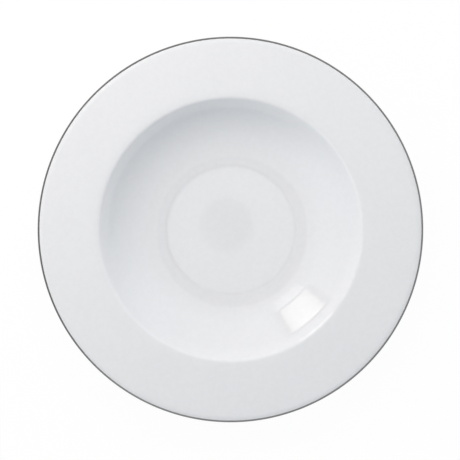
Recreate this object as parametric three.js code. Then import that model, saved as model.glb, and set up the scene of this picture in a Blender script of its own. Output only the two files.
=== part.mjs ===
// Deep plate of white porcelain with a wide rim and a dark line round its edge.
// Millimetres, +Z up, with the origin on the axis at the height of the foot's standing face.
// The plate is one pressed body. A coat of glaze covers its face, its edge and its back as far as the foot,
// a second coat lies inside the foot ring, and the foot stays bare where it stands in the kiln.
// The line is painted over the glaze and fired on.
import * as THREE from 'three';

// Plan of the body, from the axis outwards
const FLOOR_DIAMETER = 125; // floor of the well, to the sharp corner with the wall
const WALL_RUN = 19.5; // from that corner out to the sharp corner of wall and rim
const RIM_WIDTH = 38; // from there out to the finished edge, over glaze and line
const FOOT_DIAMETER = 104; // foot ring, at the middle of its standing face

// Heights of the body
const FOOT_DEPTH = 3.2; // hollow inside the foot ring
const FLOOR_THICKNESS = 4.5;
const WELL_DEPTH = 21.3; // from the corner of wall and rim down to the floor
const RIM_RISE = 1.65; // from that corner up to where the rim's edge starts to roll
const WALL_THICKNESS = 4;
const RIM_THICKNESS = 3.9;

// Roundings of the well and the rim
const WALL_RADIUS = 52.5; // long curve from the floor into the wall
const SHOULDER_RADIUS = 3.2; // wall into brow, the strip beside it that rises faster than the rim
const BROW_WIDTH = 2.2;
const BROW_RISE = 0.4;
const BROW_RADIUS = 16; // brow into rim
const THROAT_RADIUS = 9; // under the rim, at the back of the shoulder

// Edge of the rim: its top rolls down to a narrow upright face
const ROLL_WIDTH = 2.2;
const ROLL_DROP = 0.8;
const ROLL_RADIUS = 5;
const EDGE_RADIUS = 1.2;
const UNDER_EDGE_RADIUS = 0.8;

// Foot ring, under the start of the wall
const FOOT_FACE = 2.6; // width of the standing face to its sharp corners
const FOOT_LEAN = 20; // degrees between its flanks and the axis
const FOOT_ROOT_RADIUS = 2;
const FOOT_LIP_RADIUS = 0.7;
const FOOT_BARE = 1.2; // height of the foot that is left unglazed

// Coats on the body
const GLAZE_THICKNESS = 0.35;
const LINE_THICKNESS = 0.1;
const LINE_WIDTH = 0.8; // of the line on the roll, from the sharp corner of the edge inwards
const LINE_LAP = 0.9; // of the line on the upright face, from that corner down
const FUSED_GAP = 0.05; // kept between layers that are fused in the fire

// Fineness of the round surfaces
const TURN_STEPS = 64;
const ARC_SAG = 0.1; // most that a chord may leave its arc

// What the coats add outside the body
const GLAZE_INSIDE = FUSED_GAP;
const GLAZE_OUTSIDE = GLAZE_INSIDE + GLAZE_THICKNESS;
const LINE_INSIDE = GLAZE_OUTSIDE + FUSED_GAP;
const LINE_OUTSIDE = LINE_INSIDE + LINE_THICKNESS;

const at = (radius, height) => new THREE.Vector2(radius, height);
const corner = (point, rounding = 0) => ({ point, rounding });

// Right-hand side of a direction, which is the outside of an outline that keeps the body on its left
const rightOf = (direction) => at(direction.y, -direction.x);
const between = (from, to) => to.clone().sub(from).normalize();
const along = (from, direction, distance) => from.clone().addScaledVector(direction, distance);

// Where two lines meet, each given by a point and a direction
function meet(pointA, directionA, pointB, directionB) {
  const apart = pointB.clone().sub(pointA);
  return along(pointA, directionA, apart.cross(directionB) / directionA.cross(directionB));
}

// Half section of the body as named corners, from the middle of the base round to the middle of the floor
function bodyCorners() {
  const floorRadius = FLOOR_DIAMETER / 2;
  const mouthRadius = floorRadius + WALL_RUN;
  const edgeRadius = mouthRadius + RIM_WIDTH - LINE_OUTSIDE;
  const floorHeight = FOOT_DEPTH + FLOOR_THICKNESS;
  const mouthHeight = floorHeight + WELL_DEPTH;
  const rollHeight = mouthHeight + RIM_RISE;

  // Inside of the well and top of the rim
  const floorEdge = at(floorRadius, floorHeight);
  const mouth = at(mouthRadius, mouthHeight);
  const wall = between(floorEdge, mouth);
  const brow = at(mouthRadius + BROW_WIDTH, mouthHeight + BROW_RISE);
  const roll = at(edgeRadius - ROLL_WIDTH, rollHeight);

  // Edge of the rim, with the ends of the line on its roll and on its upright face
  const edgeTop = at(edgeRadius, rollHeight - ROLL_DROP);
  const edgeUnder = at(edgeRadius, rollHeight - RIM_THICKNESS);
  const rollSlope = between(edgeTop, roll);
  const lineTop = along(edgeTop, rollSlope, LINE_WIDTH / -rollSlope.x);
  const lineBottom = at(edgeRadius, edgeTop.y - LINE_LAP);

  // Foot ring
  const footRadius = FOOT_DIAMETER / 2;
  const lean = THREE.MathUtils.degToRad(FOOT_LEAN);
  const outerFlank = at(Math.sin(lean), Math.cos(lean));
  const innerFlank = at(-Math.sin(lean), Math.cos(lean));
  const outerToe = at(footRadius + FOOT_FACE / 2, 0);
  const innerToe = at(footRadius - FOOT_FACE / 2, 0);
  const bareSlant = FOOT_BARE / Math.cos(lean);
  const level = at(1, 0);

  // Back of the wall, which follows its curve from the foot up, and underside of the rim
  const backRadius = WALL_RADIUS + WALL_THICKNESS;
  const curveStart = floorRadius - WALL_RADIUS * Math.tan(wall.angle() / 2);
  const curveCentre = at(curveStart, floorHeight + WALL_RADIUS);
  const leaving = Math.asin(Math.max(0, outerToe.x - curveStart) / backRadius);
  const lowerWall = at(Math.cos(leaving), Math.sin(leaving));
  const lowerBack = along(curveCentre, rightOf(lowerWall), backRadius);
  const upperBack = along(mouth, rightOf(wall), WALL_THICKNESS);
  const wallBack = meet(lowerBack, lowerWall, upperBack, wall);
  const throat = meet(upperBack, wall, edgeUnder, between(brow, roll));

  return {
    baseCentre: corner(at(0, FOOT_DEPTH)),
    innerRoot: corner(meet(innerToe, innerFlank, at(0, FOOT_DEPTH), level), FOOT_ROOT_RADIUS),
    innerStop: corner(along(innerToe, innerFlank, bareSlant)),
    innerToe: corner(innerToe, FOOT_LIP_RADIUS),
    outerToe: corner(outerToe, FOOT_LIP_RADIUS),
    outerStop: corner(along(outerToe, outerFlank, bareSlant)),
    outerRoot: corner(meet(outerToe, outerFlank, lowerBack, lowerWall), FOOT_ROOT_RADIUS),
    wallBack: corner(wallBack, backRadius),
    throat: corner(throat, THROAT_RADIUS),
    edgeUnder: corner(edgeUnder, UNDER_EDGE_RADIUS),
    lineBottom: corner(lineBottom),
    edgeTop: corner(edgeTop, EDGE_RADIUS),
    lineTop: corner(lineTop),
    roll: corner(roll, ROLL_RADIUS),
    brow: corner(brow, BROW_RADIUS),
    mouth: corner(mouth, SHOULDER_RADIUS),
    floorEdge: corner(floorEdge, WALL_RADIUS),
    floorCentre: corner(at(0, floorHeight)),
  };
}

// Follows named corners and turns the rounded ones into arcs.
// Each station is a point of the outline with its outward normal and the name of its corner.
function traceOutline(corners) {
  const names = Object.keys(corners);
  const points = names.map((name) => corners[name].point);
  const sides = points.slice(1).map((point, i) => between(points[i], point));
  const lengths = points.slice(1).map((point, i) => point.distanceTo(points[i]));
  const arrivals = [sides[0], ...sides];
  const departures = [...sides, sides.at(-1)];
  const turnBetween = (before, after) => Math.atan2(before.cross(after), before.dot(after));
  const turns = arrivals.map((arrival, i) => turnBetween(arrival, departures[i]));
  const halfTurns = turns.map((turn) => Math.tan(Math.abs(turn) / 2));

  // An arc takes as much of its two sides as its radius asks, and neighbouring arcs share a short side
  const reaches = names.map((name, i) => corners[name].rounding * halfTurns[i]);
  lengths.forEach((length, i) => {
    const share = Math.min(1, length / Math.max(reaches[i] + reaches[i + 1], Number.EPSILON));
    reaches[i] *= share;
    reaches[i + 1] *= share;
  });

  return names.flatMap((name, i) => {
    const start = along(points[i], arrivals[i], -reaches[i]);
    if (reaches[i] === 0) return [{ name, point: start, normal: rightOf(departures[i]) }];
    const radius = reaches[i] / halfTurns[i];
    const toCentre = -Math.sign(turns[i]) * radius;
    const centre = along(start, rightOf(arrivals[i]), toCentre);
    const stepAngle = 2 * Math.acos(1 - Math.min(ARC_SAG / radius, 1));
    const steps = Math.max(2, Math.ceil(Math.abs(turns[i]) / stepAngle));
    return Array.from({ length: steps + 1 }, (_, step) => {
      const angle = (turns[i] * step) / steps;
      const normal = rightOf(arrivals[i]).rotateAround(at(0, 0), angle);
      return { name, point: along(centre, normal, -toCentre), normal };
    });
  });
}

const outline = traceOutline(bodyCorners());

// Stations of the outline from one named corner to another
function stretch(from, to) {
  const names = outline.map((station) => station.name);
  return outline.slice(names.indexOf(from), names.lastIndexOf(to) + 1);
}

const lifted = (stations, height) => stations.map(({ point, normal }) => along(point, normal, height));

// Half section of a layer over a stretch of the outline, between two heights above the body
function layer(stations, inside, outside) {
  return [...lifted(stations, outside), ...lifted(stations, inside).reverse()];
}

function turned(name, profile, material) {
  const mesh = new THREE.Mesh(new THREE.LatheGeometry(profile, TURN_STEPS), material);
  mesh.name = name;
  return mesh;
}

const porcelain = new THREE.MeshStandardMaterial({ color: 0xf0eee8, roughness: 0.8, metalness: 0 });
const glaze = new THREE.MeshStandardMaterial({ color: 0xe6e9ec, roughness: 0.12, metalness: 0 });
const lineColour = new THREE.MeshStandardMaterial({ color: 0x5e5f61, roughness: 0.35, metalness: 0 });

// Pressed body, with its foot ring
function porcelainBody() {
  return turned('porcelain_body', lifted(outline, 0), porcelain);
}

// Glaze over face, edge and back. Its section opens on the axis, so it runs from there and back.
function glazeCoat() {
  const covered = stretch('outerStop', 'floorCentre');
  const inner = lifted(covered, GLAZE_INSIDE).reverse();
  return turned('glaze_coat', [...inner, ...lifted(covered, GLAZE_OUTSIDE)], glaze);
}

// Glaze inside the foot ring
function baseGlaze() {
  return turned('base_glaze', layer(stretch('baseCentre', 'innerStop'), GLAZE_INSIDE, GLAZE_OUTSIDE), glaze);
}

// Line over the glaze, from the roll of the rim to the upright face of its edge
function rimLine() {
  const ring = layer(stretch('lineBottom', 'lineTop'), LINE_INSIDE, LINE_OUTSIDE);
  return turned('rim_line', [...ring, ring[0]], lineColour);
}

// Turned sections stand along Y, so the plate is tipped to stand along Z
const plate = new THREE.Group();
plate.add(porcelainBody(), glazeCoat(), baseGlaze(), rimLine());
plate.rotation.x = Math.PI / 2;

export default plate;
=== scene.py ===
# Deep plate of glazed white porcelain with a dark line round its rim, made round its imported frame.
import math
import sys

import bmesh
import bpy
from mathutils import Matrix, Vector


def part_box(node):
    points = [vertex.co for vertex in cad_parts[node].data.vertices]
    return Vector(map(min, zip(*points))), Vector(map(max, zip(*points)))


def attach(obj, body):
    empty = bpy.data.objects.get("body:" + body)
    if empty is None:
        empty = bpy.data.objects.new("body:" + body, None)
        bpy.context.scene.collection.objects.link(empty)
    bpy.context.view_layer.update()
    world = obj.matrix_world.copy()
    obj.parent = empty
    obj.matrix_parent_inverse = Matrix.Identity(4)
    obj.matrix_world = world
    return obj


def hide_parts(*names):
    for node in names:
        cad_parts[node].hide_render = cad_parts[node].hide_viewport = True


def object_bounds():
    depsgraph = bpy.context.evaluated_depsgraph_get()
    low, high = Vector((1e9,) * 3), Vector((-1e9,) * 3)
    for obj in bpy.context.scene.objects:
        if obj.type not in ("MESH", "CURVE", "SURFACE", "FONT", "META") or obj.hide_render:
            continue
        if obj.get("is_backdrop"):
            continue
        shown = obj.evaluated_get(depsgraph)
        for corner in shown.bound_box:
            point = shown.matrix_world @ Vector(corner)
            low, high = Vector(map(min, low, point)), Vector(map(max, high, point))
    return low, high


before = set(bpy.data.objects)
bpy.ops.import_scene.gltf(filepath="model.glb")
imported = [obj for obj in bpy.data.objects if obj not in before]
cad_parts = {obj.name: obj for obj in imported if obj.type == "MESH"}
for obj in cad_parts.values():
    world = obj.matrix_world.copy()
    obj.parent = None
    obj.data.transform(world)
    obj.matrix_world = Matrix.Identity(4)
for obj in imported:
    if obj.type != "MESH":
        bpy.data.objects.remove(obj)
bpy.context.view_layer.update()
print("frame:", ", ".join(sorted(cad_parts)))

mm = 0.001
pureWhite = (1, 1, 1, 1)
pureBlack = (0, 0, 0, 1)


# A socket of a node tree, so that sums on values can be written out
class Wire:
    def __init__(self, board, socket):
        self.board = board
        self.socket = socket

    def out(self, name):  # another output of the same node
        return Wire(self.board, self.socket.node.outputs[name])

    def __add__(self, other):
        return self.board.maths("ADD", self, other)

    def __radd__(self, other):
        return self.board.maths("ADD", other, self)

    def __sub__(self, other):
        return self.board.maths("SUBTRACT", self, other)

    def __rsub__(self, other):
        return self.board.maths("SUBTRACT", other, self)

    def __mul__(self, other):
        return self.board.maths("MULTIPLY", self, other)

    def __rmul__(self, other):
        return self.board.maths("MULTIPLY", other, self)

    def __truediv__(self, other):
        return self.board.maths("DIVIDE", self, other)

    def __rtruediv__(self, other):
        return self.board.maths("DIVIDE", other, self)

    def __pow__(self, other):
        return self.board.maths("POWER", self, other)


# A node tree, with one way to put a node on it
class Board:
    def __init__(self, tree):
        self.tree = tree

    def node(self, kind, settings=None, inputs=None, output=0):
        made = self.tree.nodes.new(kind)
        for name, value in (settings or {}).items():
            setattr(made, name, value)
        for name, value in (inputs or {}).items():
            if isinstance(value, Wire):
                self.tree.links.new(value.socket, made.inputs[name])
            else:
                made.inputs[name].default_value = value
        return Wire(self, made.outputs[output] if made.outputs else None)

    def maths(self, operation, *values):
        return self.node("ShaderNodeMath", {"operation": operation}, dict(enumerate(values)))

    def ramp(self, value, low, high, toLow=0.0, toHigh=1.0):  # smooth step from one value to another
        stops = {"Value": value, "From Min": low, "From Max": high, "To Min": toLow, "To Max": toHigh}
        return self.node("ShaderNodeMapRange", {"interpolation_type": "SMOOTHSTEP"}, stops)

    def blend(self, amount, first, second):  # of two colours
        colours = {"Factor": amount, 6: first, 7: second}
        return self.node("ShaderNodeMix", {"data_type": "RGBA"}, colours, 2)

    def noise(self, place, size, detail=2.0, seed=0.0):  # size is that of one patch
        look = {"Vector": place, "W": seed, "Scale": 1 / size, "Detail": detail}
        return self.node("ShaderNodeTexNoise", {"noise_dimensions": "4D"}, look)


# Half section of the body in millimetres, as (radius, height)
plateForm = {
    "floorDiameter": 125.0,  # to the sharp corner of floor and wall
    "wallRun": 19.5,
    "footDiameter": 104.0,
    "footDepth": 3.2,
    "floorThickness": 4.5,
    "wellDepth": 21.3,
    "rimRise": 1.65,
    "wallThickness": 4.0,
    "rimThickness": 3.9,
    "wallRadius": 52.5,
    "shoulderRadius": 3.2,
    "browWidth": 2.2,  # strip between shoulder and rim
    "browRise": 0.4,
    "browRadius": 16.0,
    "throatRadius": 9.0,
    "rollWidth": 2.2,
    "rollDrop": 0.65,  # roll a little gentler than the solid's
    "rollRadius": 9.0,
    "edgeRadius": 1.2,
    "underEdgeRadius": 0.8,
    "footFace": 2.6,
    "footLean": math.radians(20),
    "footRootRadius": 2.0,
    "footLipRadius": 0.7,
    "footBare": 1.2,
    "lineWidth": 0.8,
    "lineLap": 0.9,
    "arcStep": math.radians(5),
    "pieceLength": 2.6,
}
coatForm = {
    "fusedGap": 0.05,
    "glaze": 0.35,
    "line": 0.1,
    "beadSteps": 6,  # over the rounded edge of a coat
    "gatherWindow": 2.5,  # length of outline to either side in which a bend counts
    "gatherTurn": math.radians(30),  # bend in which the glaze gathers, or thins, all it can
}
glazeInside = coatForm["fusedGap"]
glazeOutside = glazeInside + coatForm["glaze"]
lineInside = glazeOutside + coatForm["fusedGap"]
lineOutside = lineInside + coatForm["line"]


def at(radius, height):
    return Vector((radius, height))


def rightOf(direction):  # outside of an outline that keeps the body on its left
    return at(direction.y, -direction.x)


def toward(start, end):
    return (end - start).normalized()


def crossing(first, second):
    return first.x * second.y - first.y * second.x


def meet(pointA, directionA, pointB, directionB):
    apart = pointB - pointA
    return pointA + directionA * (crossing(apart, directionB) / crossing(directionA, directionB))


# Corners from the middle of the base, round the edge, to the middle of the floor
def bodyCorners(form):
    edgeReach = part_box("rim_line")[1].x / mm - lineOutside
    floorRadius = form["floorDiameter"] / 2
    mouthRadius = floorRadius + form["wallRun"]
    floorHeight = form["footDepth"] + form["floorThickness"]
    mouthHeight = floorHeight + form["wellDepth"]
    rollHeight = mouthHeight + form["rimRise"]

    floorEdge = at(floorRadius, floorHeight)
    mouth = at(mouthRadius, mouthHeight)
    wall = toward(floorEdge, mouth)
    brow = at(mouthRadius + form["browWidth"], mouthHeight + form["browRise"])
    curveReach = form["wallRadius"] * math.tan(math.atan2(wall.y, wall.x) / 2)
    roll = at(edgeReach - form["rollWidth"], rollHeight)

    edgeTop = at(edgeReach, rollHeight - form["rollDrop"])
    edgeUnder = at(edgeReach, rollHeight - form["rimThickness"])
    rollSlope = toward(edgeTop, roll)
    lineTop = edgeTop + rollSlope * (form["lineWidth"] / -rollSlope.x)
    lineBottom = at(edgeReach, edgeTop.y - form["lineLap"])

    footRadius = form["footDiameter"] / 2
    lean = form["footLean"]
    outerFlank = at(math.sin(lean), math.cos(lean))
    innerFlank = at(-math.sin(lean), math.cos(lean))
    outerToe = at(footRadius + form["footFace"] / 2, 0)
    innerToe = at(footRadius - form["footFace"] / 2, 0)
    bareSlant = form["footBare"] / math.cos(lean)
    baseCentre = at(0, form["footDepth"])

    backRadius = form["wallRadius"] + form["wallThickness"]
    curveCentre = at(floorRadius - curveReach, floorHeight + form["wallRadius"])
    # Slope of the back where the foot leaves it
    leaving = math.asin(max(0, outerToe.x - curveCentre.x) / backRadius)
    lowerWall = at(math.cos(leaving), math.sin(leaving))
    lowerBack = curveCentre + rightOf(lowerWall) * backRadius
    upperBack = mouth + rightOf(wall) * form["wallThickness"]
    wallBack = meet(lowerBack, lowerWall, upperBack, wall)
    throat = meet(upperBack, wall, edgeUnder, toward(brow, roll))

    return [
        ("baseCentre", baseCentre, 0),
        ("innerRoot", meet(innerToe, innerFlank, baseCentre, at(1, 0)), form["footRootRadius"]),
        ("innerStop", innerToe + innerFlank * bareSlant, 0),
        ("innerToe", innerToe, form["footLipRadius"]),
        ("outerToe", outerToe, form["footLipRadius"]),
        ("outerStop", outerToe + outerFlank * bareSlant, 0),
        ("outerRoot", meet(outerToe, outerFlank, lowerBack, lowerWall), form["footRootRadius"]),
        ("wallBack", wallBack, backRadius),
        ("throat", throat, form["throatRadius"]),
        ("edgeUnder", edgeUnder, form["underEdgeRadius"]),
        ("lineBottom", lineBottom, 0),
        ("edgeTop", edgeTop, form["edgeRadius"]),
        ("lineTop", lineTop, 0),
        ("roll", roll, form["rollRadius"]),
        ("brow", brow, form["browRadius"]),
        ("mouth", mouth, form["shoulderRadius"]),
        ("floorEdge", floorEdge, form["wallRadius"]),
        ("floorCentre", at(0, floorHeight), 0),
    ]


# Points of the outline with their outward normals, each rounded corner turned into an arc
def traceOutline(corners, form):
    points = [point for _, point, _ in corners]
    sides = [toward(start, end) for start, end in zip(points, points[1:])]
    lengths = [(end - start).length for start, end in zip(points, points[1:])]
    arrivals = [sides[0], *sides]
    departures = [*sides, sides[-1]]
    turns = [math.atan2(crossing(a, d), a.dot(d)) for a, d in zip(arrivals, departures)]
    halfTurns = [math.tan(abs(turn) / 2) for turn in turns]
    reaches = [rounding * half for (_, _, rounding), half in zip(corners, halfTurns)]
    for i, length in enumerate(lengths):
        share = min(1, length / max(reaches[i] + reaches[i + 1], sys.float_info.epsilon))
        reaches[i] *= share
        reaches[i + 1] *= share

    outline = []
    for i, (name, point, _) in enumerate(corners):
        start = point - arrivals[i] * reaches[i]
        normal = rightOf(arrivals[i])
        if reaches[i] == 0:
            outline.append((name, start, rightOf(departures[i])))
            continue
        radius = reaches[i] / halfTurns[i]
        toCentre = -math.copysign(radius, turns[i])
        centre = start + normal * toCentre
        arcLength = radius * abs(turns[i])
        steps = math.ceil(max(abs(turns[i]) / form["arcStep"], arcLength / form["pieceLength"]))
        for step in range(steps + 1):
            angle = turns[i] * step / steps
            turned = at(normal.x * math.cos(angle) - normal.y * math.sin(angle),
                        normal.x * math.sin(angle) + normal.y * math.cos(angle))
            outline.append((name, centre - turned * toCentre, turned))
    return outline


outline = traceOutline(bodyCorners(plateForm), plateForm)


def stretch(first, last):  # part of the outline between two named corners
    names = [name for name, _, _ in outline]
    end = len(names) - names[::-1].index(last)
    return [(point, normal) for _, point, normal in outline[names.index(first):end]]


def divided(stations, pieceLength):  # long straight sides cut into even pieces
    cut = [stations[0]]
    for (startPoint, startNormal), (endPoint, endNormal) in zip(stations, stations[1:]):
        pieces = max(1, math.ceil((endPoint - startPoint).length / pieceLength))
        for piece in range(1, pieces + 1):
            share = piece / pieces
            cut.append((startPoint.lerp(endPoint, share), startNormal.lerp(endNormal, share).normalized()))
    return cut


def travelled(stations):  # distance along the stations
    distances = [0.0]
    for (start, _), (end, _) in zip(stations, stations[1:]):
        distances.append(distances[-1] + (end - start).length)
    return distances


# How much the glaze gathers at each station: over 0 in a hollow, under 0 on a ridge
def gathering(stations):
    window = coatForm["gatherWindow"]
    distances = travelled(stations)
    values = []
    for here in distances:
        near = [i for i, distance in enumerate(distances) if abs(distance - here) <= window]
        before, after = stations[near[0]][1], stations[near[-1]][1]
        turn = math.atan2(crossing(before, after), before.dot(after))
        values.append(max(-1.0, min(1.0, -turn / coatForm["gatherTurn"])))
    return values


# A layer over part of the outline. Its free ends are rounded and can waver along the surface.
def layerSection(stations, inside, outside, freeStart, freeEnd, waverReach):
    thickness = outside - inside
    if freeStart:
        stations = withBeadPoints(stations, thickness)
    if freeEnd:
        stations = withBeadPoints(stations[::-1], thickness)[::-1]
    distances = travelled(stations)
    whole = distances[-1]
    gathers = gathering(stations)
    rows = []
    for (point, normal), distance, gathered in zip(stations, distances, gathers):
        toStart = distance if freeStart else whole
        toEnd = whole - distance if freeEnd else whole
        inward = 1 - min(1, min(toStart, toEnd) / thickness)
        height = inside + thickness * math.sqrt(1 - inward * inward)
        along = at(-normal.y, normal.x)  # onward along the outline
        pull = along * max(0, 1 - toEnd / waverReach) - along * max(0, 1 - toStart / waverReach)
        rows.append((point + normal * height, point + normal * inside, gathered, pull))
    outer = [(top, gathered, pull) for top, _, gathered, pull in rows]
    inner = [(bottom, gathered, pull) for _, bottom, gathered, pull in rows]
    return outer, inner


def withBeadPoints(stations, thickness):  # closer points where an edge is rounded
    (firstPoint, firstNormal), (nextPoint, _) = stations[0], stations[1]
    direction = toward(firstPoint, nextPoint)
    span = min(thickness, (nextPoint - firstPoint).length / 2)
    beadSteps = coatForm["beadSteps"]
    extra = []
    for step in range(1, beadSteps + 1):
        inward = span * (1 - math.cos(math.pi / 2 * step / beadSteps))
        extra.append((firstPoint + direction * inward, firstNormal))
    return [stations[0], *extra, *stations[1:]]


seamReach = 1e-7  # within which points at the seam and on the axis are joined


# Turns a section round the upright axis. Its points carry how the glaze gathers and how edges waver.
def turningTree():
    tree = bpy.data.node_groups.new("turnedSection", "GeometryNodeTree")
    board = Board(tree)
    face = tree.interface
    face.new_socket("Section", in_out="INPUT", socket_type="NodeSocketGeometry")
    inputs = {
        "turns": face.new_socket("Turns", in_out="INPUT", socket_type="NodeSocketInt"),
        "waver": face.new_socket("Waver", in_out="INPUT", socket_type="NodeSocketFloat"),
        "waverSize": face.new_socket("Waver Size", in_out="INPUT", socket_type="NodeSocketFloat"),
        "seed": face.new_socket("Seed", in_out="INPUT", socket_type="NodeSocketInt"),
        "finish": face.new_socket("Finish", in_out="INPUT", socket_type="NodeSocketMaterial"),
    }
    face.new_socket("Piece", in_out="OUTPUT", socket_type="NodeSocketGeometry")

    given = board.node("NodeGroupInput")
    section = given.out("Section")
    count = board.node("GeometryNodeAttributeDomainSize", {"component": "MESH"}, {0: section})
    spread = {"Size X": 1.0, "Size Y": 1.0, "Vertices X": count, "Vertices Y": given.out("Turns") + 1}
    grid = board.node("GeometryNodeMeshGrid", {}, spread)
    gridPlace = board.node("ShaderNodeSeparateXYZ", {}, {0: board.node("GeometryNodeInputPosition")})
    stationShare = gridPlace + 0.5  # the grid's middle is at 0
    angle = (gridPlace.out("Y") + 0.5) * math.tau
    cosine = board.maths("COSINE", angle)
    sine = board.maths("SINE", angle)
    stationPlace = {0: stationShare * (count - 1)}
    station = board.node("FunctionNodeFloatToInt", {"rounding_mode": "ROUND"}, stationPlace)

    def sampled(kind, value):
        links = {"Geometry": section, "Value": value, "Index": station}
        return board.node("GeometryNodeSampleIndex", {"data_type": kind, "domain": "POINT"}, links)

    def carried(kind, name):
        return board.node("GeometryNodeInputNamedAttribute", {"data_type": kind}, {"Name": name})

    place = sampled("FLOAT_VECTOR", board.node("GeometryNodeInputPosition"))
    pull = sampled("FLOAT_VECTOR", carried("FLOAT_VECTOR", "pull"))
    gathered = sampled("FLOAT", carried("FLOAT", "gathered"))
    ring = board.node("ShaderNodeCombineXYZ", {}, {"X": cosine, "Y": sine})
    patches = {"Vector": ring, "W": given.out("Seed"), "Scale": 1 / given.out("Waver Size"), "Detail": 3.0}
    patch = board.node("ShaderNodeTexNoise", {"noise_dimensions": "4D"}, patches)
    amount = (patch - 0.5) * 2 * given.out("Waver")
    moved = board.node("ShaderNodeVectorMath", {"operation": "SCALE"}, {0: pull, "Scale": amount})
    settled = board.node("ShaderNodeVectorMath", {"operation": "ADD"}, {0: place, 1: moved})
    split = board.node("ShaderNodeSeparateXYZ", {}, {0: settled})
    turned = {"X": split * cosine, "Y": split * sine, "Z": split.out("Z")}
    kept = board.node("GeometryNodeStoreNamedAttribute", {"data_type": "FLOAT", "domain": "POINT"}, {
        "Geometry": grid, "Name": "gathered", "Value": gathered})
    wrapped = board.node("GeometryNodeSetPosition", {}, {
        "Geometry": kept, "Position": board.node("ShaderNodeCombineXYZ", {}, turned)})
    closed = board.node("GeometryNodeMergeByDistance", {}, {"Geometry": wrapped, "Distance": seamReach})
    smooth = board.node("GeometryNodeSetShadeSmooth", {}, {"Geometry": closed, "Shade Smooth": True})
    real = board.node("GeometryNodeRealizeInstances", {}, {"Geometry": smooth})
    finished = board.node("GeometryNodeSetMaterial", {}, {"Geometry": real, "Material": given.out("Finish")})
    board.node("NodeGroupOutput", {}, {"Piece": finished})
    return tree, {name: socket.identifier for name, socket in inputs.items()}


turning, turningInputs = turningTree()


def turnedPiece(name, rows, settings):
    section = bpy.data.meshes.new(name + "Section")
    points = [(point.x * mm, 0, point.y * mm) for point, _, _ in rows]
    section.from_pydata(points, [(i, i + 1) for i in range(len(points) - 1)], [])
    section.attributes.new("gathered", "FLOAT", "POINT").data.foreach_set(
        "value", [gathered for _, gathered, _ in rows])
    section.attributes.new("pull", "FLOAT_VECTOR", "POINT").data.foreach_set(
        "vector", [value for _, _, pull in rows for value in (pull.x, 0, pull.y)])

    wheel = bpy.data.objects.new(name + "Wheel", section)
    bpy.context.scene.collection.objects.link(wheel)
    modifier = wheel.modifiers.new("turn", "NODES")
    modifier.node_group = turning
    for key, value in settings.items():
        modifier[turningInputs[key]] = value
    bpy.context.view_layer.update()
    made = wheel.evaluated_get(bpy.context.evaluated_depsgraph_get())
    mesh = bpy.data.meshes.new_from_object(made)
    mesh.name = name
    wheel.modifiers.remove(modifier)
    bpy.data.objects.remove(wheel)
    bpy.data.meshes.remove(section)

    shell = bmesh.new()
    shell.from_mesh(mesh)
    if shell.calc_volume(signed=True) < 0:
        bmesh.ops.reverse_faces(shell, faces=shell.faces)
    openEdges = sum(1 for edge in shell.edges if not edge.is_manifold)
    shell.to_mesh(mesh)
    shell.free()
    piece = bpy.data.objects.new(name, mesh)
    bpy.context.scene.collection.objects.link(piece)
    print(name, "has", len(mesh.polygons), "faces and", openEdges, "open edges")
    return piece


def settle(piece, node):  # stands for its CAD node and rides with the plate
    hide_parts(node)
    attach(piece, "root")


def newMaterial(name):
    material = bpy.data.materials.new(name)
    material.use_nodes = True
    material.node_tree.nodes.clear()
    return material, Board(material.node_tree)


def objectPlace(board):
    return board.node("ShaderNodeTexCoord", output="Object")


def fromAxis(board, place):  # distance from the plate's axis
    split = board.node("ShaderNodeSeparateXYZ", {}, {0: place})
    return (split * split + split.out("Y") * split.out("Y")) ** 0.5


def surface(board, inputs):
    shader = board.node("ShaderNodeBsdfPrincipled", {}, inputs)
    board.node("ShaderNodeOutputMaterial", {}, {"Surface": shader})


glazeLook = {
    "white": (0.802, 0.807, 0.826, 1),
    "cloud": (0.790, 0.796, 0.817, 1),
    "cloudSize": 0.03,
    "cloudStops": (0.42, 0.68),  # of the noise, from none to all
    "cloudShare": 0.6,
    "thin": (0.793, 0.800, 0.820, 1),  # where it thins on a ridge
    "thinStops": (-0.1, -1.0),  # of how it gathers
    "deep": (0.770, 0.786, 0.812, 1),  # where it gathers in a hollow
    "deepStops": (0.05, 0.9),
    "well": (0.836, 0.844, 0.867, 1),  # under the thicker, wetter glaze of well, wall and shoulder
    "wellEdge": (0.0817, 0.0838),  # radii between which that glaze ends
    "wallStart": (0.046, 0.060),  # and between which it grows from the floor to the wall
    "floorWetness": 0.5,
    "darkRing": (0.775, 0.780, 0.803, 1),  # darker ring at the foot of the wall: partly glaze that ran together there, partly a painted dark reflection
    "darkRingCentre": (0.0011, -0.0014, 0),  # a little off the axis
    "darkRingStart": (0.0396, 0.0425),  # radii between which the ring sets in and fades out
    "darkRingEnd": (0.0463, 0.0491),
    "darkRingWaver": 0.0018,
    "darkRingWaverSize": 0.015,
    "mottle": 0.016,  # share of the light that fine mottling takes at most
    "mottleSize": 0.0028,
    "mottleStops": (0.35, 0.65),
    "roughness": 0.02,
    "roughnessSpread": 0.015,
    "smudgeSize": 0.015,  # of patches that are a little rougher
    "rippleSize": 0.012,
    "rippleHeight": 0.000004,
    "peelSize": 0.0016,
    "peelHeight": 0.0000002,
    "ringSpacing": 0.0022,  # of turning rings, under the base only
    "ringHeight": 0.000004,
}


# Darker ring at the foot of the wall: partly glaze that ran together there, partly a painted dark reflection
def withDarkRing(board, place, colour, look):
    centred = {0: place, 1: look["darkRingCentre"]}
    reach = fromAxis(board, board.node("ShaderNodeVectorMath", {"operation": "SUBTRACT"}, centred))
    reach = reach + (board.noise(place, look["darkRingWaverSize"], seed=2.0) - 0.5) * look["darkRingWaver"]
    inDarkRing = board.ramp(reach, *look["darkRingStart"]) * (1 - board.ramp(reach, *look["darkRingEnd"]))
    return board.blend(inDarkRing, colour, look["darkRing"])


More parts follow.
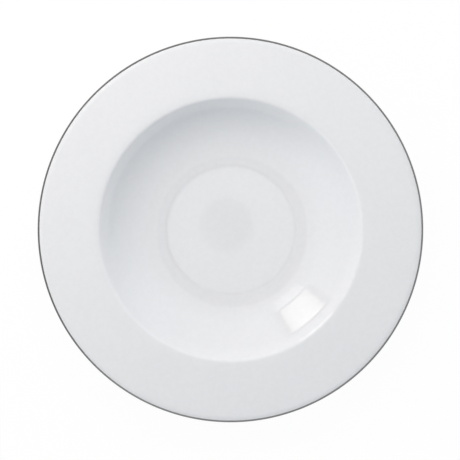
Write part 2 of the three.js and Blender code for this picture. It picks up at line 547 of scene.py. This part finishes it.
def glazeMaterial(look, underBase=False):
    material, board = newMaterial("baseGlaze" if underBase else "whiteGlaze")
    place = objectPlace(board)
    radius = fromAxis(board, place)
    wall = board.ramp(radius, *look["wallStart"], look["floorWetness"], 1.0)
    wetness = wall * (1 - board.ramp(radius, *look["wellEdge"]))

    gathered = board.node("ShaderNodeAttribute", {"attribute_name": "gathered"}, output="Fac")
    cloud = board.ramp(board.noise(place, look["cloudSize"], detail=3.0), *look["cloudStops"])
    colour = board.blend(cloud * look["cloudShare"], look["white"], look["cloud"])
    colour = board.blend(board.ramp(gathered, *look["thinStops"]), colour, look["thin"])
    if not underBase:
        colour = board.blend(wetness * wetness, colour, look["well"])
    colour = board.blend(board.ramp(gathered, *look["deepStops"]), colour, look["deep"])
    if not underBase:
        colour = withDarkRing(board, place, colour, look)
    specks = board.noise(place, look["mottleSize"], seed=9.0)
    mottled = board.ramp(specks, *look["mottleStops"], 0.0, look["mottle"])
    colour = board.blend(mottled, colour, pureBlack)

    smudge = board.noise(place, look["smudgeSize"], detail=4.0, seed=3.0)
    roughness = look["roughness"] + smudge * look["roughnessSpread"]
    ripple = board.noise(place, look["rippleSize"], detail=1.0, seed=5.0) * look["rippleHeight"]
    peel = board.noise(place, look["peelSize"], detail=1.0, seed=7.0) * look["peelHeight"]
    height = ripple + peel
    if underBase:
        rings = board.maths("SINE", radius * (math.tau / look["ringSpacing"]))
        height = height + rings * look["ringHeight"]
    bump = board.node("ShaderNodeBump", {}, {"Height": height, "Strength": 1.0, "Distance": 1.0})
    surface(board, {"Base Color": colour, "Roughness": roughness, "Coat Weight": wetness, "Normal": bump})
    return material


bareLook = {
    "clay": (0.80, 0.785, 0.745, 1),
    "worn": (0.62, 0.61, 0.585, 1),
    "scuffSize": 0.006,
    "scuffStops": (0.5, 0.75),  # of the noise, from none to all
    "scuffShare": 0.7,
    "standing": (0.0001, 0.0006),  # heights between which the face that meets the table ends
    "grainSize": 0.0004,
    "grainHeight": 0.00003,
    "grainShare": 0.2,
    "roughness": 0.7,
    "roughnessSpread": 0.2,
}


def bareMaterial(look):
    material, board = newMaterial("barePorcelain")
    place = objectPlace(board)
    grain = board.noise(place, look["grainSize"], detail=4.0)
    scuff = board.ramp(board.noise(place, look["scuffSize"], detail=4.0, seed=2.0), *look["scuffStops"])
    height = board.node("ShaderNodeSeparateXYZ", {}, {0: place}).out("Z")
    standing = 1 - board.ramp(height, *look["standing"])
    wear = scuff * standing * look["scuffShare"] + (grain - 0.5) * look["grainShare"]
    colour = board.blend(wear, look["clay"], look["worn"])
    roughness = look["roughness"] + grain * look["roughnessSpread"]
    bump = board.node("ShaderNodeBump", {}, {"Height": grain * look["grainHeight"], "Distance": 1.0})
    surface(board, {"Base Color": colour, "Roughness": roughness, "Normal": bump})
    return material


lineLook = {
    "dark": (0.094, 0.093, 0.092, 1),
    "pale": (0.275, 0.272, 0.266, 1),  # towards which painted light and grain pale the line
    "paintedLightStart": -160.0,  # degrees round the plate from which the painted lightening is counted, clockwise
    "paintedLightRise": (0.1, 0.85),  # shares of the turn between which the line is painted paler, a painted light that evens out its shading
    "paintedLightFall": (0.88, 1.0),  # shares in which the painted lightening fades back to dark
    "paintedLightShare": 0.85,
    "grainSize": 0.0005,
    "grainShare": 0.15,
    "roughness": 0.3,
    "roughnessSpread": 0.15,
}


def lineMaterial(look):
    material, board = newMaterial("greyLine")
    place = objectPlace(board)
    split = board.node("ShaderNodeSeparateXYZ", {}, {0: place})
    angle = board.maths("ARCTAN2", split.out("Y"), split)
    # Painted light: the line is painted paler round the side away from the softbox, which evens out its
    # shading; grain adds a random tone
    share = board.maths("FRACT", (math.radians(look["paintedLightStart"]) - angle) / math.tau)
    paintedLight = board.ramp(share, *look["paintedLightRise"]) * (1 - board.ramp(share, *look["paintedLightFall"]))
    grain = board.noise(place, look["grainSize"], detail=3.0, seed=6.0)
    paintedLightAndGrain = paintedLight * look["paintedLightShare"] + grain * look["grainShare"]
    colour = board.blend(paintedLightAndGrain, look["dark"], look["pale"])
    roughness = look["roughness"] + grain * look["roughnessSpread"]
    surface(board, {"Base Color": colour, "Roughness": roughness})
    return material


# Pieces
pieceSetup = {
    "porcelain_body": {"turns": 192, "seed": 1},
    "glaze_coat": {"turns": 288, "seed": 11},
    "base_glaze": {"turns": 192, "seed": 12},
    "rim_line": {"turns": 384, "seed": 13},
}


def addPiece(node, rows, edge, finish):
    wavering = {"waver": edge["waver"], "waverSize": edge["waverSize"], "finish": finish}
    settle(turnedPiece(node + "_smooth", rows, {**pieceSetup[node], **wavering}), node)


bodyEdge = {
    "waver": 0.0,
    "waverSize": 1.0,
}


def porcelainBody():
    whole = divided(stretch("baseCentre", "floorCentre"), plateForm["pieceLength"])
    rows = [(point, 0.0, at(0, 0)) for point, _ in whole]
    addPiece("porcelain_body", rows, bodyEdge, bareMaterial(bareLook))


glazeEdge = {
    "waver": 0.16 * mm,  # of its wiped edge on the foot
    "waverSize": 0.35,
    "waverReach": 0.7,
}


def glazeCoat():
    covered = divided(stretch("outerStop", "floorCentre"), plateForm["pieceLength"])
    outer, inner = layerSection(covered, glazeInside, glazeOutside, True, False, glazeEdge["waverReach"])
    addPiece("glaze_coat", inner[::-1] + outer, glazeEdge, glazeMaterial(glazeLook))


def baseGlaze():
    covered = divided(stretch("baseCentre", "innerStop"), plateForm["pieceLength"])
    outer, inner = layerSection(covered, glazeInside, glazeOutside, False, True, glazeEdge["waverReach"])
    finish = glazeMaterial(glazeLook, underBase=True)
    addPiece("base_glaze", outer + inner[::-1], glazeEdge, finish)


lineEdge = {
    "waver": 0.1 * mm,  # of a line drawn by brush on a turning plate
    "waverSize": 0.5,
    "waverReach": 0.5,
    "pieceLength": 0.125,
}


def rimLine():
    covered = divided(stretch("lineBottom", "lineTop"), lineEdge["pieceLength"])
    outer, inner = layerSection(covered, lineInside, lineOutside, True, True, lineEdge["waverReach"])
    ring = outer + inner[::-1]
    addPiece("rim_line", [*ring, ring[0]], lineEdge, lineMaterial(lineLook))


porcelainBody()
glazeCoat()
baseGlaze()
rimLine()

# Camera straight above, at the photograph's frame
cameraSetup = {
    "framePixels": 460,
    "platePixels": 386.2,  # diameter of the plate in the frame
    "offCentrePixels": (0.45, 0.5),  # of the plate's middle, to the right and up
    "distance": 1.2,  # from the rim
    "sensor": 36.0,
}


def topCamera(setup):
    low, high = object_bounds()
    metresPerPixel = (high.x - low.x) / setup["platePixels"]
    frameWidth = metresPerPixel * setup["framePixels"]
    data = bpy.data.cameras.new("topCamera")
    data.sensor_width = setup["sensor"]
    data.lens = setup["sensor"] * setup["distance"] / frameWidth
    camera = bpy.data.objects.new("topCamera", data)
    right, up = setup["offCentrePixels"]
    camera.location = (-right * metresPerPixel, -up * metresPerPixel, high.z + setup["distance"])
    bpy.context.scene.collection.objects.link(camera)
    bpy.context.scene.camera = camera
    print("camera lens", round(data.lens, 1), "mm")


topCamera(cameraSetup)

# Floor, white to the eye, with a trace of the plate's shadow
floorSetup = {
    "halfSize": 40.0,
    "colour": (0.95, 0.95, 0.95, 1),
    "whiteShare": 0.96,
}


def paleFloor(setup):
    half = setup["halfSize"]
    mesh = bpy.data.meshes.new("floor")
    corners = [(-half, -half, 0), (half, -half, 0), (half, half, 0), (-half, half, 0)]
    mesh.from_pydata(corners, [], [(0, 1, 2, 3)])
    material, board = newMaterial("paleFloor")
    path = board.node("ShaderNodeLightPath", output="Is Camera Ray")
    mirrored = board.maths("MAXIMUM", path.out("Is Glossy Ray"), path.out("Is Transmission Ray"))
    seen = board.maths("MAXIMUM", path, mirrored)
    matt = board.node("ShaderNodeBsdfDiffuse", {}, {"Color": setup["colour"]})
    white = board.node("ShaderNodeEmission", {}, {"Color": pureWhite, "Strength": 1.0})
    mixed = board.node("ShaderNodeMixShader", {}, {0: seen * setup["whiteShare"], 1: matt, 2: white})
    board.node("ShaderNodeOutputMaterial", {}, {"Surface": mixed})
    mesh.materials.append(material)
    floor = bpy.data.objects.new("floor", mesh)
    bpy.context.scene.collection.objects.link(floor)
    floor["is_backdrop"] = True


paleFloor(floorSetup)

# Soft studio light: surroundings that are brighter to two sides and even overhead, a tall softbox and
# a dimmer panel over it, both mirrored in the glaze, and panels beside them for fill.
# A panel stands at an angle round the plate, between a lower and an upper edge, each (distance, height).
# What it lights the plate with and how bright it is mirrored are two lamps, one just in front of the other.
lightSetup = {
    "sides": (0.560, 0.604, 0.635, 1),
    "brightSides": 35.0,  # degrees round the plate of the line along which the sides are brightest
    "peak": 1.0,  # how much brighter they are there than all round
    "dip": 0.43,  # how much darker they are all round than higher up
    "overhead": (0.64, 0.64, 0.64, 1),
    "overheadFrom": (0.82, 0.90),  # upward share of the direction in which it sets in
    "zenithGuard": 0.001,  # keeps a division from 0 straight up
    "horizon": (0.03, 0.07),  # upward shares between which the white below ends
    "lampColour": (1.0, 0.938, 0.885),
    "panels": {
        "softbox": {"angle": 131.4, "lower": (0.55, 0.094), "upper": (0.55, 0.64), "width": 0.194,
                    "light": 2.65, "mirrored": 1.96},
        "upperPanel": {"angle": 130.5, "lower": (0.55, 0.695), "upper": (0.55, 1.1), "width": 0.21,
                       "light": 1.17, "mirrored": 0.88},
        "rightFill": {"angle": 86.0, "lower": (0.62, 0.506), "upper": (0.338, 0.788), "width": 0.473,
                      "light": 3.66, "mirrored": 0},
        "leftFill": {"angle": 161.0, "lower": (0.55, 0.45), "upper": (0.30, 0.70), "width": 0.24,
                     "light": 1.32, "mirrored": 0},
        "lowFill": {"angle": 160.0, "lower": (0.55, 0.094), "upper": (0.55, 0.45), "width": 0.28,
                    "light": 1.7, "mirrored": 0},
    },
    "mirroredStep": 0.004,  # from a panel's lamp forward to the one that is mirrored
    "sideFade": 0.4,  # share of its mirrored brightness that a panel loses towards its two sides
    "black": (0.01, 0.01, 0.01, 1),
    "frameWidth": 0.045,  # black edge of the softbox
    "frameStep": 0.004,  # from the mirrored softbox back to it
    "lensRadius": 0.0336,
    "lensPlace": (-0.0048, 0.0066),
    "lensCorners": 64,
}


def surroundings(setup):
    world = bpy.data.worlds.new("studio")
    world.use_nodes = True
    world.node_tree.nodes.clear()
    board = Board(world.node_tree)
    direction = board.node("ShaderNodeSeparateXYZ", {}, {0: objectPlace(board)})
    upward = direction.out("Z")
    turn = math.radians(setup["brightSides"])
    along = direction * math.cos(turn) + direction.out("Y") * math.sin(turn)
    flatness = 1 + setup["zenithGuard"] - upward * upward
    facing = along * along / flatness
    narrowed = facing * facing * facing * facing
    level = 1 + flatness * (setup["peak"] * narrowed - setup["dip"])
    colour = board.blend(board.ramp(upward, *setup["overheadFrom"]), setup["sides"], setup["overhead"])
    studioGlow = board.node("ShaderNodeBackground", {}, {"Color": colour, "Strength": level})
    white = board.node("ShaderNodeBackground", {}, {"Color": pureWhite, "Strength": 1.0})
    above = board.ramp(upward, *setup["horizon"])
    glow = board.node("ShaderNodeMixShader", {}, {0: above, 1: white, 2: studioGlow})
    board.node("ShaderNodeOutputWorld", {}, {"Surface": glow})
    bpy.context.scene.world = world


def lightPanel(name, panel, radiance, colour, forward=0.0):
    turn = math.radians(panel["angle"])
    outward = Vector((math.cos(turn), math.sin(turn), 0))
    edges = (panel["lower"], panel["upper"])
    lower, upper = (outward * reach + Vector((0, 0, height)) for reach, height in edges)
    up = (upper - lower).normalized()
    across = up.cross(outward).normalized()
    back = across.cross(up)  # a lamp shines along its own -Z
    data = bpy.data.lights.new(name, "AREA")
    data.shape = "RECTANGLE"
    data.size = panel["width"]
    data.size_y = (upper - lower).length
    data.energy = math.pi * data.size * data.size_y * radiance
    data.color = colour
    lamp = bpy.data.objects.new(name, data)
    facing = Matrix((across, up, back)).transposed().to_4x4()
    lamp.matrix_world = Matrix.Translation((lower + upper) / 2 - back * forward) @ facing
    bpy.context.scene.collection.objects.link(lamp)
    lamp.visible_camera = False
    return lamp


def fadeSides(lamp, fade):
    lamp.data.use_nodes = True
    lamp.data.node_tree.nodes.clear()
    board = Board(lamp.data.node_tree)
    place = board.node("ShaderNodeNewGeometry", output="Parametric")
    fromMiddle = board.node("ShaderNodeSeparateXYZ", {}, {0: place}) * 2 - 1  # -1 to 1 across the panel
    glow = board.node("ShaderNodeEmission", {}, {"Strength": 1 - fromMiddle * fromMiddle * fade})
    board.node("ShaderNodeOutputLight", {}, {"Surface": glow})


# Black things that the glaze mirrors but the camera doesn't see
def blackMaterial(colour):
    material, board = newMaterial("black")
    matt = board.node("ShaderNodeBsdfDiffuse", {}, {"Color": colour})
    board.node("ShaderNodeOutputMaterial", {}, {"Surface": matt})
    return material


def blackSheet(name, points, material):
    mesh = bpy.data.meshes.new(name)
    mesh.from_pydata(points, [], [tuple(range(len(points)))])
    mesh.materials.append(material)
    sheet = bpy.data.objects.new(name, mesh)
    bpy.context.scene.collection.objects.link(sheet)
    sheet.visible_camera = False
    sheet.visible_diffuse = False
    sheet.visible_shadow = False
    sheet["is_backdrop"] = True


def studio(setup):
    surroundings(setup)
    mirrored = {}
    for name, panel in setup["panels"].items():
        lightPanel(name, panel, panel["light"], setup["lampColour"]).visible_glossy = False
        if panel["mirrored"]:
            inFront = (panel["mirrored"], setup["lampColour"], setup["mirroredStep"])
            mirrored[name] = lightPanel(name + "Mirrored", panel, *inFront)
            mirrored[name].visible_diffuse = False
            fadeSides(mirrored[name], setup["sideFade"])

    black = blackMaterial(setup["black"])
    softbox = mirrored["softbox"]
    halfWidth = softbox.data.size / 2 + setup["frameWidth"]
    halfHeight = softbox.data.size_y / 2 + setup["frameWidth"]
    signs = ((-1, -1), (1, -1), (1, 1), (-1, 1))
    corners = [Vector((x * halfWidth, y * halfHeight, setup["frameStep"])) for x, y in signs]
    blackSheet("softboxFrame", [softbox.matrix_world @ corner for corner in corners], black)
    lensMiddle = Vector((*setup["lensPlace"], bpy.context.scene.camera.location.z))
    turns = [math.tau * step / setup["lensCorners"] for step in range(setup["lensCorners"])]
    spokes = [Vector((math.cos(turn), math.sin(turn), 0)) for turn in turns]
    blackSheet("lens", [lensMiddle + spoke * setup["lensRadius"] for spoke in spokes], black)
    print("studio lit by", ", ".join(setup["panels"]))


studio(lightSetup)

bpy.context.scene.view_settings.view_transform = "Standard"
